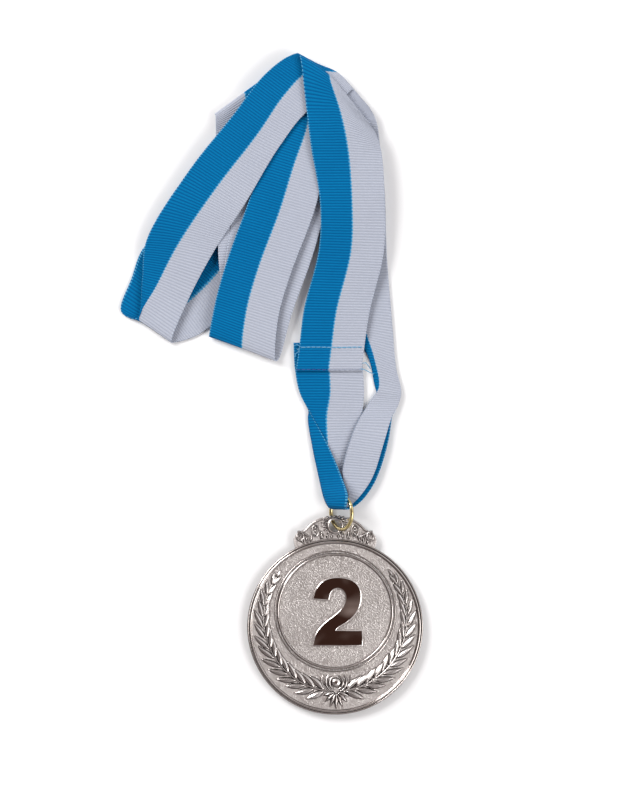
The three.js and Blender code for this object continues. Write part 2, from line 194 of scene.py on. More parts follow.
# %% Node group: uneven patches and fine grain
def object_noise(tree, scale, detail, rough=0.5):
    """Noise that stays on the surface, as it is taken from the object's own coordinates."""
    place = tree.nodes.new("ShaderNodeTexCoord")
    noise = tree.nodes.new("ShaderNodeTexNoise")
    noise.inputs["Detail"].default_value = detail
    noise.inputs["Roughness"].default_value = rough
    tree.links.new(place.outputs["Object"], noise.inputs["Vector"])
    if isinstance(scale, (int, float)):
        noise.inputs["Scale"].default_value = scale
    else:
        tree.links.new(scale, noise.inputs["Scale"])
    return noise.outputs["Fac"]


patches, patches_in, patches_out = group_with("uneven patches", {"Scale": 60, "Contrast": 3}, ["Mask"])
patch_noise = object_noise(patches, patches_in.outputs["Scale"], 4, 0.6)
centred = math_node(patches, "SUBTRACT", patch_noise, 0.5)
stretched = math_node(patches, "MULTIPLY_ADD", centred, patches_in.outputs["Contrast"], 0.5, clamp=True)
wire(patches, (stretched, patches_out.inputs["Mask"]))

grain, grain_in, grain_out = group_with("fine grain", {"Scale": 3500}, ["Height", "Glint"])
pits = grain.nodes.new("ShaderNodeTexVoronoi")
pits.feature = "SMOOTH_F1"
grain_place = grain.nodes.new("ShaderNodeTexCoord")
wire(grain, (grain_place.outputs["Object"], pits.inputs["Vector"]), (grain_in.outputs["Scale"], pits.inputs["Scale"]))
speckle = object_noise(grain, grain_in.outputs["Scale"], 2, 0.7)
grain_height = math_node(grain, "MULTIPLY_ADD", speckle, 0.6, pits.outputs["Distance"])
glint = math_node(grain, "GREATER_THAN", speckle, 0.64)
wire(grain, (grain_height, grain_out.inputs["Height"]), (glint, grain_out.inputs["Glint"]))

# %% [markdown]
# Old silver stays bright on top, where it is rubbed. Its steep sides are painted dark: partly
# tarnish left where nothing reaches, partly painted shade and dark reflection. The third group
# measures that from the surface's own direction: 0 where it faces up, 1 where it stands upright.

# %% Node group: steep sides
steep, steep_in, steep_out = group_with("steep sides", {"Starts": 0.85, "Full": 0.3}, ["Mask"])
steep_place = steep.nodes.new("ShaderNodeTexCoord")
steep_split = steep.nodes.new("ShaderNodeSeparateXYZ")
steep_range = steep.nodes.new("ShaderNodeMapRange")
steep_range.interpolation_type = "SMOOTHSTEP"
wire(steep, (steep_place.outputs["Normal"], steep_split.inputs[0]))
wire(steep, (math_node(steep, "ABSOLUTE", steep_split.outputs["Z"]), steep_range.inputs["Value"]),
     (steep_in.outputs["Starts"], steep_range.inputs["From Min"]),
     (steep_in.outputs["Full"], steep_range.inputs["From Max"]),
     (steep_range.outputs["Result"], steep_out.inputs["Mask"]))
print("groups:", [g.name for g in bpy.data.node_groups])

# %% [markdown]
# ## The silver
# Three finishes are cast on one piece of metal. The field is sandblasted: rough, with pits too
# small to see one by one. The wreath, the rings and the lug are bright but soft, because their
# edges were rounded in the mould. The numeral is polished like a mirror, so it shows what is
# above it. A bump from the grain group gives the first, and low roughness the last.

# %% Silver finishes
SILVER = (0.76, 0.715, 0.69)
TARNISH = (0.52, 0.46, 0.43)
# near-black brown for steep sides: part tarnish, part painted shade and dark reflection
PATINA_AND_SHADE = (0.035, 0.02, 0.017)


def silver_finish(name, rough, grain_depth, tarnish, darkening, rough_spread=0.1):
    material, tree, shader = new_material(name, rough, 1.0, SILVER)
    tone = place_group(tree, patches, Scale=90, Contrast=2.2)
    skin = place_group(tree, grain, Scale=2200)
    sides = place_group(tree, steep, Starts=0.93, Full=0.5)
    share = math_node(tree, "MULTIPLY", tone.outputs["Mask"], tarnish)
    dulled = mix_colours(tree, share, SILVER, TARNISH)
    # steep sides are painted towards near-black: tarnish and painted shade together
    dark = math_node(tree, "MULTIPLY", sides.outputs["Mask"], darkening)
    wire(tree, (mix_colours(tree, dark, dulled, PATINA_AND_SHADE), shader.inputs["Base Color"]))
    uneven = math_node(tree, "MULTIPLY_ADD", tone.outputs["Mask"], rough_spread, rough - rough_spread / 2)
    glinting = math_node(tree, "MULTIPLY_ADD", skin.outputs["Glint"], -rough * 0.22, uneven, clamp=True)
    wire(tree, (glinting if grain_depth > 0.5 else uneven, shader.inputs["Roughness"]))
    bump = tree.nodes.new("ShaderNodeBump")
    bump.inputs["Strength"].default_value = min(1.0, grain_depth)
    bump.inputs["Distance"].default_value = 0.16 * MM
    wire(tree, (skin.outputs["Height"], bump.inputs["Height"]), (bump.outputs["Normal"], shader.inputs["Normal"]))
    return material


sandblasted = silver_finish("sandblasted silver", 0.38, 0.9, 0.12, 0.9)
bright_cast = silver_finish("bright cast silver", 0.17, 0.1, 0.35, 0.95)
polished_edge = silver_finish("polished silver edge", 0.1, 0.03, 0.95, 0.97, rough_spread=0.05)
plain_back = silver_finish("plain silver back", 0.3, 0.25, 0.3, 0.5)

# %% [markdown]
# No polished flat is quite flat: the buffing wheel leaves it gently wavy, so its reflection
# drifts from dark to light. A second, very wide bump gives the numeral that drift.

# %% Mirror polish
mirror_polish, mirror_tree, mirror_shader = new_material("mirror polished silver", 0.07, 1.0, SILVER)
buffing = mirror_tree.nodes.new("ShaderNodeBump")
buffing.inputs["Strength"].default_value = 1.0
buffing.inputs["Distance"].default_value = 3.4 * MM
smears = place_group(mirror_tree, patches, Scale=420, Contrast=1.5)
# the numeral's steep bevels are painted half way to near-black: tarnish and painted shade
mirror_sides = place_group(mirror_tree, steep, Starts=0.8, Full=0.2)
mirror_dark = math_node(mirror_tree, "MULTIPLY", mirror_sides.outputs["Mask"], 0.5)
wire(mirror_tree, (object_noise(mirror_tree, 62, 1, 0.4), buffing.inputs["Height"]),
     (buffing.outputs["Normal"], mirror_shader.inputs["Normal"]),
     (mix_colours(mirror_tree, mirror_dark, SILVER, PATINA_AND_SHADE), mirror_shader.inputs["Base Color"]),
     (math_node(mirror_tree, "MULTIPLY_ADD", smears.outputs["Mask"], 0.06, 0.04), mirror_shader.inputs["Roughness"]))
print("silver:", [m.name for m in bpy.data.materials if "silver" in m.name])

# %% [markdown]
# ## The disc
# The disc is round, so its whole section is one short profile turned about its middle: a flat
# back with a softened edge, a side, a rounded bead at the rim, and the sunken field. Turning a
# profile keeps the bead perfectly even, which a bevelled cylinder would not.

# %% Disc
DISC_R, DISC_T = 32.5, 3.4
RIM_W = 1.7
FIELD_Z = DISC_T - 0.75


def turned_piece(name, profile, segments, centre, material, body, slot, closed=False):
    """A round piece from (radius, z) points; a point on the axis becomes one vertex ring."""
    points, cols = [], len(profile)
    for i in range(segments):
        a = 2 * math.pi * i / segments
        points += [(centre[0] + r * math.cos(a), centre[1] + r * math.sin(a), centre[2] + z) for r, z in profile]
    faces = grid_faces(segments, cols, wrap=True)
    if closed:
        faces += [(i * cols + cols - 1, ((i + 1) % segments) * cols + cols - 1, ((i + 1) % segments) * cols, i * cols)
                  for i in range(segments)]
    return make_piece(name, points, faces, material, body, slot)


def disc_profile():
    profile = [(0.01, 0), (16, 0), (31.2, 0), (32.0, 0)]
    profile += [(32.0 + 0.5 * math.sin(a), 0.5 - 0.5 * math.cos(a)) for a in np.linspace(0.2, math.pi / 2, 5)]
    profile += [(32.5, 2.75), (32.42, 2.98), (32.25, 3.1), (32.05, 3.1), (31.93, 3.0), (31.85, 2.86)]
    bead_r, bead_half, rise = 31.3, 0.52, DISC_T - 2.8
    for a in np.linspace(0, math.pi, 13):
        profile.append((bead_r + bead_half * math.cos(a), 2.8 + rise * math.sin(a)))
    profile += [(30.74, FIELD_Z + 0.02), (30.6, FIELD_Z), (30.4, FIELD_Z)]
    profile += [(r, FIELD_Z) for r in (28, 22, 12, 0.01)]
    return profile


disc = turned_piece("medal_disc", disc_profile(), 256, (0, 0, 0), [sandblasted, polished_edge, plain_back],
                    "medal", "silver")
for face in disc.data.polygons:
    r = math.hypot(face.center.x, face.center.y) / MM
    if face.center.z < 0.1 * MM:
        face.material_index = 2
    elif r > DISC_R - RIM_W - 0.2:
        face.material_index = 1
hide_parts("medal_body")
print("disc", len(disc.data.polygons), "faces")

# %% [markdown]
# ## The inner double ring
# A rounded bead with a thin line round it frames the numeral. It sits above the disc's centre, so
# the wreath below it gets a wide crescent and the top only a narrow gap.

# %% Inner ring
INNER = (0, 5.7)
BEAD_R, LINE_R = 21.1, 22.25


def half_round(r, width, height, steps=9):
    """The section of a bead that stands on z = 0."""
    return [(r + width / 2 * math.cos(a), height * math.sin(a)) for a in np.linspace(0, math.pi, steps)]


turned_piece("inner_bead", half_round(BEAD_R, 1.0, 0.68), 200, (*INNER, FIELD_Z), polished_edge, "medal", "silver")
turned_piece("inner_line", half_round(LINE_R, 0.5, 0.45, 7), 200, (*INNER, FIELD_Z), polished_edge, "medal", "silver")
print("double ring set", INNER[1], "mm above the centre")

# %% [markdown]
# ## The numeral
# A numeral is a flat outline pushed up, with a small rounded edge that catches the light. A 2D
# curve object does both: its extrude gives the height, its bevel the edge. It is turned into a
# mesh at once so that it behaves as every other piece does.

# %% Numeral
def plate(name, outlines, bottom, top, bevel, material, body, round_steps=4):
    """A flat plate from closed outlines (the first is the edge, the others are holes), bevelled."""
    curve = bpy.data.curves.new(name, "CURVE")
    curve.dimensions = "2D"
    curve.fill_mode = "BOTH"
    curve.extrude = ((top - bottom) / 2 - bevel) * MM
    curve.bevel_depth = bevel * MM
    curve.offset = -bevel * MM
    curve.bevel_resolution = round_steps
    for outline in outlines:
        spline = curve.splines.new("POLY")
        spline.points.add(len(outline) - 1)
        for point, (x, y) in zip(spline.points, outline):
            point.co = (x * MM, y * MM, 0, 1)
        spline.use_cyclic_u = True
    drawn = add_object(name + "_outline", curve)
    bpy.context.view_layer.update()
    mesh = bpy.data.meshes.new_from_object(drawn.evaluated_get(bpy.context.evaluated_depsgraph_get()))
    bpy.data.objects.remove(drawn)
    mesh.name = name
    mesh.transform(Matrix.Translation((0, 0, (top + bottom) / 2 * MM)))
    mesh.materials.clear()
    mesh.materials.append(material)
    piece = add_object(name, mesh)
    smooth_by_angle(piece, 35)
    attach(piece, body)
    return piece


def bezier(p0, p1, p2, p3, steps):
    t = np.linspace(0, 1, steps + 1)[1:, None]
    p0, p1, p2, p3 = map(np.array, (p0, p1, p2, p3))
    return [tuple(p) for p in (1 - t)**3 * p0 + 3 * (1 - t)**2 * t * p1 + 3 * (1 - t) * t**2 * p2 + t**3 * p3]


def numeral_outline(width, height, centre):
    """The numeral 2, drawn one wide and one high about its middle, then sized."""
    line = [(-0.5, 0.175)]
    for p1, p2, p3 in (((-0.46, 0.4), (-0.27, 0.5), (0, 0.5)), ((0.29, 0.5), (0.48, 0.4), (0.48, 0.22)),
                       ((0.48, 0.02), (0.33, -0.1), (0.15, -0.18)), ((0.06, -0.215), (0, -0.24), (-0.02, -0.265))):
        line += bezier(line[-1], p1, p2, p3, 14)
    line += [(0.5, -0.265), (0.5, -0.5), (-0.5, -0.5)]
    for p1, p2, p3 in (((-0.5, -0.33), (-0.38, -0.22), (-0.2, -0.12)), ((0.02, 0), (0.16, 0.07), (0.15, 0.2)),
                       ((0.145, 0.27), (0.08, 0.325), (-0.005, 0.325)),
                       ((-0.09, 0.325), (-0.155, 0.27), (-0.165, 0.15))):
        line += bezier(line[-1], p1, p2, p3, 14)
    return [(centre[0] + x * width, centre[1] + y * height) for x, y in line]


numeral = plate("numeral_2", [numeral_outline(18.6, 25.6, (1.0, 5.7))], FIELD_Z - 0.2, FIELD_Z + 1.0, 0.45,
                mirror_polish, "medal", round_steps=5)
print("numeral", [round(v / MM, 1) for v in numeral.dimensions])

# %% [markdown]
# ## Raised strokes and leaves
# Ornament on a cast medal is drawn with a few kinds of stroke: a rounded ridge that swells and
# tapers, and a leaf with a sharp midrib. Both are small grids laid along a line, so both can be
# repeated, turned and bent with a loop, as a die engraver repeats one punch.

# %% Ridge and leaf
def ridge(line, widths, height, z, across=7):
    """A rounded ridge along a 2D line; its width at each point is given, and tapers with it."""
    line = np.array(line, float)
    ahead = np.gradient(line, axis=0)
    ahead /= np.maximum(np.linalg.norm(ahead, axis=1, keepdims=True), 1e-9)
    side = np.stack([-ahead[:, 1], ahead[:, 0]], 1)
    points = []
    most = max(widths)
    for p, s, w in zip(line, side, widths):
        for a in np.linspace(0, math.pi, across):
            at = p + s * w / 2 * math.cos(a)
            points.append((at[0], at[1], z + height * (w / most) ** 0.6 * math.sin(a)))
    return points, grid_faces(len(line), across)


def leaf(foot, heading, length, width, height, z, bend=0.0, rows=13, cols=9):
    """A pointed leaf with a raised midrib, arched along its length and bent to one side."""
    points = []
    ahead = Vector((math.cos(heading), math.sin(heading)))
    side = Vector((-ahead.y, ahead.x))
    for i in range(rows):
        t = i / (rows - 1)
        half = width / 2 * math.sin(math.pi * t ** 0.85) ** 0.8
        middle = Vector(foot) + ahead * (length * t) + side * (bend * length * t * t)
        for j in range(cols):
            u = 2 * j / (cols - 1) - 1
            at = middle + side * (half * u)
            dome = 0.35 + 0.65 * math.sin(math.pi * min(1, 0.15 + t * 0.85))
            rib = 0.3 * math.exp(-(u / 0.16) ** 2)
            lift = height * dome * ((1 - u * u) ** 0.7 * 0.75 + rib)
            points.append((at.x, at.y, z + (lift if 0 < i < rows - 1 else 0)))
    return points, grid_faces(rows, cols)


def join_parts(parts):
    """Several (points, faces) as one."""
    points, faces = [], []
    for some_points, some_faces in parts:
        faces += [tuple(len(points) + k for k in face) for face in some_faces]
        points += some_points
    return points, faces


# %% [markdown]
# ## The wreath
# Two branches leave the crest at the bottom and climb the crescent, one on each side. Their line
# runs halfway between the inner ring and the rim, so it follows the gap as it narrows, and the
# leaves shrink with it. The wreath's two sides aren't quite equal, as nothing cut by hand is.

# %% Wreath
LEAF_PAIRS = 14


def gap_at(angle):
    """Where the crescent starts and ends at this angle from the disc's centre."""
    reach = LINE_R + 0.3
    sideways = INNER[1] * math.cos(angle)
    inside = INNER[1] * math.sin(angle) + math.sqrt(reach * reach - sideways * sideways)
    return inside, DISC_R - RIM_W


def branch_point(t, side):
    angle = math.radians(lerp(-83, 41 if side > 0 else 40, t))
    inside, outside = gap_at(angle)
    r = (inside + outside) / 2
    return Vector((side * r * math.cos(angle), r * math.sin(angle))), outside - inside


def branch(side, rng):
    parts = []
    for i in range(LEAF_PAIRS):
        t = (i + 0.25) / LEAF_PAIRS
        foot, gap = branch_point(t, side)
        ahead = branch_point(t + 0.02, side)[0] - foot
        heading = math.atan2(ahead.y, ahead.x)
        for lean in (1, -1):
            turn = math.radians(lerp(38, 22, t) + rng.uniform(-3, 3)) * lean
            length = min(gap * 0.9, 8.2) * rng.uniform(0.94, 1.04)
            width = lerp(2.6, 1.75, t)
            parts.append(leaf(foot, heading + turn, length, width, lerp(1.15, 0.85, t), FIELD_Z - 0.03, -0.12 * lean))
        if i % 2 == 0:
            berry = foot + Vector((-ahead.y, ahead.x)).normalized() * side * gap * 0.16
            parts.append(dome(berry, lerp(0.62, 0.4, t), 0.55, FIELD_Z))
    tip, gap = branch_point(1.0, side)
    before = branch_point(0.97, side)[0]
    parts.append(leaf(tip, math.atan2(*(tip - before).yx), 3.4, 1.3, 0.6, FIELD_Z - 0.03))
    line = [branch_point(t, side)[0] for t in np.linspace(0, 1.0, 60)]
    parts.append(ridge(line, list(np.linspace(0.95, 0.4, 60)), 0.75, FIELD_Z))
    return join_parts(parts)


def dome(centre, r, height, z, rings=5, segments=14):
    """A low round bud or bead."""
    points = [(centre[0], centre[1], z + height)]
    for i in range(1, rings + 1):
        a = math.pi / 2 * i / rings
        for j in range(segments):
            b = 2 * math.pi * j / segments
            points.append((centre[0] + r * math.sin(a) * math.cos(b), centre[1] + r * math.sin(a) * math.sin(b),
                           z + height * math.cos(a)))
    faces = [(0, 1 + j, 1 + (j + 1) % segments) for j in range(segments)]
    for i in range(rings - 1):
        for j in range(segments):
            a, b = 1 + i * segments + j, 1 + i * segments + (j + 1) % segments
            faces.append((a, a + segments, b + segments, b))
    return points, faces


rng = np.random.default_rng(7)
for name, side in (("wreath_right", 1), ("wreath_left", -1)):
    piece = make_piece(name, *branch(side, rng), bright_cast, "medal", "silver")
    print(name, len(piece.data.polygons), "faces")

# %% [markdown]
# ## The crest
# Where the branches cross, a round bud sits over a fan of petals, with a curl on each side. It
# hides the stems' ends, as the real wreath's tie does.

# %% Crest
CREST = Vector((0.4, -20.6))


def arc(centre, r, start, end, side, steps=22):
    """Part of a circle, mirrored to the left when side is -1."""
    return [(centre[0] + side * r * math.cos(math.radians(a)), centre[1] + r * math.sin(math.radians(a)))
            for a in np.linspace(start, end, steps)]


def crest():
    parts = [dome(CREST, 1.9, 1.2, FIELD_Z, rings=7, segments=24)]
    taper = list(0.45 + 0.6 * np.sin(np.linspace(0.15, math.pi - 0.1, 22)))
    root = CREST + Vector((0, -3.2))
    for degrees, length in ((-90, 6.2), (-112, 5.8), (-68, 5.8), (-136, 5.2), (-44, 5.2), (-160, 4.6), (-20, 4.6)):
        a = math.radians(degrees)
        foot = root + Vector((math.cos(a), math.sin(a))) * 0.6
        parts.append(leaf(foot, a, length, 1.7, 1.0, FIELD_Z - 0.03))
    for side in (1, -1):
        parts.append(ridge(arc(CREST, 2.5, 70, -75, side), taper, 0.9, FIELD_Z))
        parts.append(ridge(arc(CREST + Vector((0, 0.3)), 3.8, 40, -68, side), taper, 0.9, FIELD_Z))
        parts.append(ridge(arc(CREST + Vector((side * 0.4, 0.8)), 5.0, 22, -62, side), taper, 0.8, FIELD_Z))
    return join_parts(parts)


make_piece("wreath_crest", *crest(), bright_cast, "medal", "silver")
print("crest at", tuple(round(v, 1) for v in CREST))

# %% [markdown]
# ## The lug
# The lug is a small crown cast with the disc. A flat plate with a hole carries it; on the plate
# lie an eyelet round the hole, ribs that fan out from it, two oval beads, and a scroll at each
# shoulder that rolls onto the rim.

# %% Lug plate
LUG_T, COLLAR_UP = 1.3, 0.3
LUG_Z = DISC_T - LUG_T
HOLE = Vector((0, DISC_R + 4.8))
HOLE_R = 2.2
LUG_FACE = DISC_T - 0.65


def lug_outline():
    """The plate's edge; its foot follows the disc and stays hidden under the rim's bead."""
    reach = DISC_R - RIM_W / 2
    right = [(x, math.sqrt(reach * reach - x * x)) for x in (0, 3, 6, 9, 12, 14.4)]
    right += [(15.2, 30.4), (15.4, 32.4), (14.6, 34.2), (12.7, 35.1), (11.2, 35.9), (10.2, 37.3), (8.6, 38.7),
              (6.8, 39.7), (5.4, 40.3), (3.6, 40.6), (2.0, 41.0), (0, 41.05)]
    return right + [(-x, y) for x, y in right[-2:0:-1]]


def softened(outline, rounds=2):
    """The closed outline with its corners cut round."""
    for _ in range(rounds):
        points = np.array(outline)
        following = np.roll(points, -1, axis=0)
        outline = [tuple(p) for pair in zip(points * 0.75 + following * 0.25, points * 0.25 + following * 0.75)
                   for p in pair]
    return outline


hole = [(HOLE.x + (HOLE_R + 0.05) * math.cos(a), HOLE.y + (HOLE_R + 0.05) * math.sin(a))
        for a in np.linspace(0, 2 * math.pi, 49)[:-1]]
plate("lug_plate", [softened(lug_outline()), hole[::-1]], LUG_Z, LUG_FACE, 0.2, sandblasted, "medal")
eyelet_top = LUG_T + COLLAR_UP
eyelet = [(HOLE_R, 0.15), (HOLE_R + 0.15, 0), (HOLE_R + 0.5, 0)]
eyelet += [(HOLE_R + 0.4 + 0.4 * math.cos(a), eyelet_top - 0.35 + 0.35 * math.sin(a))
           for a in np.linspace(0, math.pi, 9)]
turned_piece("lug_eyelet", eyelet, 64, (HOLE.x, HOLE.y, LUG_Z), bright_cast, "medal", "silver", closed=True)

# %% Lug ornament
def spiral(centre, r, turns, start, side, steps=40):
    return [(centre[0] + side * r * (1 - 0.8 * t) * math.cos(start + turns * 2 * math.pi * t),
             centre[1] + r * (1 - 0.8 * t) * math.sin(start + turns * 2 * math.pi * t))
            for t in np.linspace(0, 1, steps)]


def lug_ornament():
    top = LUG_FACE - 0.05
    parts = []
    for side in (1, -1):
        for degrees, length in ((84, 1.0), (66, 1.4), (48, 2.0), (30, 2.9), (13, 2.6), (-4, 2.2), (-24, 1.8),
                                (-48, 1.5)):
            a = math.radians(degrees)
            foot = HOLE + Vector((side * math.cos(a), math.sin(a))) * 2.9
            parts.append(leaf(foot, a if side > 0 else math.pi - a, length, 0.95, 0.8, top))
        for x, lean, length in ((1.3, 92, 1.7), (2.8, 84, 2.2), (4.4, 76, 3.4), (5.3, 98, 3.2), (9.3, 108, 3.4),
                                (10.4, 88, 2.6), (11.5, 62, 2.2)):
            foot = Vector((side * x, math.sqrt((DISC_R + 0.1) ** 2 - x * x)))
            a = math.radians(lean)
            parts.append(leaf(foot, a if side > 0 else math.pi - a, length, 1.15, 0.85, top))
        oval = [(side * 7.3 + 1.3 * math.cos(a), 35.5 + 2.1 * math.sin(a)) for a in np.linspace(0, 2 * math.pi, 33)]
        parts.append(ridge(oval, [0.55] * 33, 0.6, top))
        parts += [dome((side * 7.3, y), 0.55, 0.75, top) for y in (34.3, 35.5, 36.7)]
        scroll = spiral((side * 13.2, 33.2), 1.9, 1.35, 1.2, side)
        parts.append(ridge(scroll, list(np.linspace(1.0, 0.5, 40)), 0.85, top))
        shoulder = ((8.6, 33.1), (9.8, 33.5), (11.2, 34.3), (12.6, 35.0), (13.6, 35.0))
        parts.append(ridge([(side * x, y) for x, y in shoulder], [0.3, 0.7, 0.9, 0.7, 0.3], 0.7, top))
    edge = [(x * 0.955, HOLE.y - 2 + (y - HOLE.y + 2) * 0.87) for x, y in lug_outline() if y > 34]
    parts.append(ridge(edge, [0.8] * len(edge), 0.42, top))
    return join_parts(parts)


make_piece("lug_ornament", *lug_ornament(), bright_cast, "medal", "silver")
print("lug reaches", max(y for _, y in lug_outline()), "mm above the centre")

# %% [markdown]
# ## The jump ring
# A jump ring is a piece of wire bent round until its ends touch. The two ends stay visible as a
# fine dark line, so the ring is an open tube with flat ends, not a torus.

# %% Brass
brass, brass_tree, brass_shader = new_material("pale brass wire", 0.16, 1.0, (0.74, 0.62, 0.33))
brass_tone = place_group(brass_tree, patches, Scale=160, Contrast=2.5)
# the wire's steep sides are painted dark brown: a painted dark reflection
brass_sides = place_group(brass_tree, steep, Starts=0.75, Full=0.05)
brass_colour = mix_colours(brass_tree, brass_tone.outputs["Mask"], (0.76, 0.65, 0.37), (0.58, 0.46, 0.2))
brass_painted_dark_reflection = math_node(brass_tree, "MULTIPLY", brass_sides.outputs["Mask"], 0.8)
brass_rough = math_node(brass_tree, "MULTIPLY_ADD", brass_tone.outputs["Mask"], 0.14, 0.1)
wire(brass_tree, (mix_colours(brass_tree, brass_painted_dark_reflection, brass_colour, (0.12, 0.085, 0.03)),
                  brass_shader.inputs["Base Color"]),
     (brass_rough, brass_shader.inputs["Roughness"]))

# %% Jump ring
WIRE_R, RING_R = 0.7, 6.2
RING_TURN = Matrix.Rotation(math.radians(2), 3, "X") @ Matrix.Rotation(math.radians(-52), 3, "Y")
ring_low, ring_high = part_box("jump_ring")
RING_CENTRE = (Vector(ring_low) + Vector(ring_high)) / 2 / MM


def jump_ring(steps=140, sides=20):
    gap, gap_at_angle = math.radians(2.0), math.radians(25)
    points = []
    for i in range(steps + 1):
        a = gap_at_angle + gap / 2 + (2 * math.pi - gap) * i / steps
        out = Vector((math.cos(a), math.sin(a), 0))
        ends = 0.93 if i in (0, steps) else 1.0
        for j in range(sides):
            b = 2 * math.pi * j / sides
            local = out * (RING_R + WIRE_R * ends * math.cos(b)) + Vector((0, 0, WIRE_R * ends * math.sin(b)))
            points.append(tuple(RING_CENTRE + RING_TURN @ local))
    faces = []
    for i in range(steps):
        for j in range(sides):
            a, b = i * sides + j, i * sides + (j + 1) % sides
            faces.append((a, a + sides, b + sides, b))
    faces += [tuple(range(sides)), tuple(reversed(range(steps * sides, (steps + 1) * sides)))]
    return points, faces


ring = make_piece("jump_ring_wire", *jump_ring(), brass, "ring", "brass_wire")
smooth_by_angle(ring, 50)
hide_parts("jump_ring")
print("ring centre", [round(v, 2) for v in RING_CENTRE])

# %% [markdown]
# ## The ribbon's weave
# Grosgrain is woven with thick threads laid across the band, so it has a rib about every
# millimetre. The warp that covers the ribs is blue on one half and white on the other, and where
# they meet each rib hands over a little differently, which gives a fine sawtooth line. Along both
# edges the weft turns back and shows as small pale loops. All of it is painted from two numbers
# that the mesh carries: how far across the band a point is, and how far along it.

# %% Node group: grosgrain
RIB = 1.02

weave, weave_in, weave_out = group_with("grosgrain weave", {"Across": 0.5, "Along": 0.0, "Rib": RIB},
                                        ["Height", "Groove", "White half", "Edge loops", "Colour line"])
across, along = weave_in.outputs["Across"], weave_in.outputs["Along"]
rib_count = math_node(weave, "DIVIDE", along, weave_in.outputs["Rib"])
rib_phase = math_node(weave, "MULTIPLY", rib_count, 2 * math.pi)
rib_wave = math_node(weave, "MULTIPLY_ADD", math_node(weave, "COSINE", rib_phase), 0.5, 0.5)
# Groove marks the hollow between ribs; the ribbon's material paints shade there
groove = math_node(weave, "POWER", math_node(weave, "SUBTRACT", 1.0, rib_wave), 2.2)
warp_wave = math_node(weave, "COSINE", math_node(weave, "MULTIPLY", across, 2 * math.pi * 62))
every_other = math_node(weave, "COSINE", math_node(weave, "MULTIPLY", rib_count, math.pi))
warp = math_node(weave, "MULTIPLY", warp_wave, math_node(weave, "MULTIPLY", every_other, 0.1))
saw = math_node(weave, "PINGPONG", math_node(weave, "MULTIPLY", rib_count, 0.75), 0.5)
sawtooth = math_node(weave, "MULTIPLY_ADD", saw, 0.026, across)
white_half = math_node(weave, "GREATER_THAN", sawtooth, 0.507)
from_line = math_node(weave, "ABSOLUTE", math_node(weave, "SUBTRACT", sawtooth, 0.5))
colour_line = math_node(weave, "LESS_THAN", from_line, 0.008)
from_middle = math_node(weave, "ABSOLUTE", math_node(weave, "SUBTRACT", across, 0.5))
near_edge = math_node(weave, "GREATER_THAN", from_middle, 0.484)
loops = math_node(weave, "MULTIPLY", near_edge, math_node(weave, "GREATER_THAN", rib_wave, 0.45))
edge_roll = math_node(weave, "MULTIPLY", near_edge, 0.5)
height = math_node(weave, "ADD", math_node(weave, "ADD", rib_wave, warp), edge_roll)
wire(weave, (height, weave_out.inputs["Height"]), (groove, weave_out.inputs["Groove"]),
     (white_half, weave_out.inputs["White half"]), (loops, weave_out.inputs["Edge loops"]),
     (colour_line, weave_out.inputs["Colour line"]))
print("rib pitch", RIB, "mm")

# %% Ribbon material
# the deep colours serve for uneven dye tone and also for the painted shade in the rib grooves
BLUE, DEEP_BLUE_AND_GROOVE_SHADE = (0.0, 0.178, 0.41), (0.0, 0.07, 0.215)
WHITE, DEEP_WHITE_AND_GROOVE_SHADE = (0.49, 0.515, 0.585), (0.32, 0.345, 0.42)
BLUE_LOOP = (0.12, 0.42, 0.64)

cloth, cloth_tree, cloth_shader = new_material("blue and white grosgrain", 0.78, 0.0, BLUE)
cloth_shader.inputs["Sheen Weight"].default_value = 0.02
cloth_shader.inputs["Sheen Roughness"].default_value = 0.45
cloth_shader.inputs["Specular IOR Level"].default_value = 0.06
uv = cloth_tree.nodes.new("ShaderNodeUVMap")
uv.uv_map = "band"
split = cloth_tree.nodes.new("ShaderNodeSeparateXYZ")
wire(cloth_tree, (uv.outputs["UV"], split.inputs[0]))
threads = place_group(cloth_tree, weave, Across=split.outputs["X"], Along=split.outputs["Y"], Rib=RIB)
dye = place_group(cloth_tree, patches, Scale=45, Contrast=1.6)
fuzz = place_group(cloth_tree, patches, Scale=1900, Contrast=1.8)
blue_tone = mix_colours(cloth_tree, math_node(cloth_tree, "MULTIPLY", dye.outputs["Mask"], 0.3), BLUE, DEEP_BLUE_AND_GROOVE_SHADE)
white_tone = mix_colours(cloth_tree, math_node(cloth_tree, "MULTIPLY", dye.outputs["Mask"], 0.22), WHITE, DEEP_WHITE_AND_GROOVE_SHADE)
# the grooves between ribs are painted darker: painted shade, on top of the bump
blue_groove_shade = math_node(cloth_tree, "MULTIPLY", threads.outputs["Groove"], 0.85)
blue_with_groove_shade = mix_colours(cloth_tree, blue_groove_shade, blue_tone, DEEP_BLUE_AND_GROOVE_SHADE)
white_groove_shade = math_node(cloth_tree, "MULTIPLY", threads.outputs["Groove"], 0.62)
white_with_groove_shade = mix_colours(cloth_tree, white_groove_shade, white_tone, DEEP_WHITE_AND_GROOVE_SHADE)
halves = mix_colours(cloth_tree, threads.outputs["White half"], blue_with_groove_shade, white_with_groove_shade)
loop_share = math_node(cloth_tree, "MULTIPLY", threads.outputs["Edge loops"], 0.75)
loop_colour = mix_colours(cloth_tree, threads.outputs["White half"], BLUE_LOOP, (0.55, 0.6, 0.7))
line_share = math_node(cloth_tree, "MULTIPLY", threads.outputs["Colour line"], 0.6)
lined = mix_colours(cloth_tree, line_share, halves, BLUE_LOOP)
looped = mix_colours(cloth_tree, loop_share, lined, loop_colour)
fuzz_share = math_node(cloth_tree, "MULTIPLY", fuzz.outputs["Mask"], 0.12)
wire(cloth_tree, (mix_colours(cloth_tree, fuzz_share, looped, DEEP_BLUE_AND_GROOVE_SHADE), cloth_shader.inputs["Base Color"]))
cloth_bump = cloth_tree.nodes.new("ShaderNodeBump")
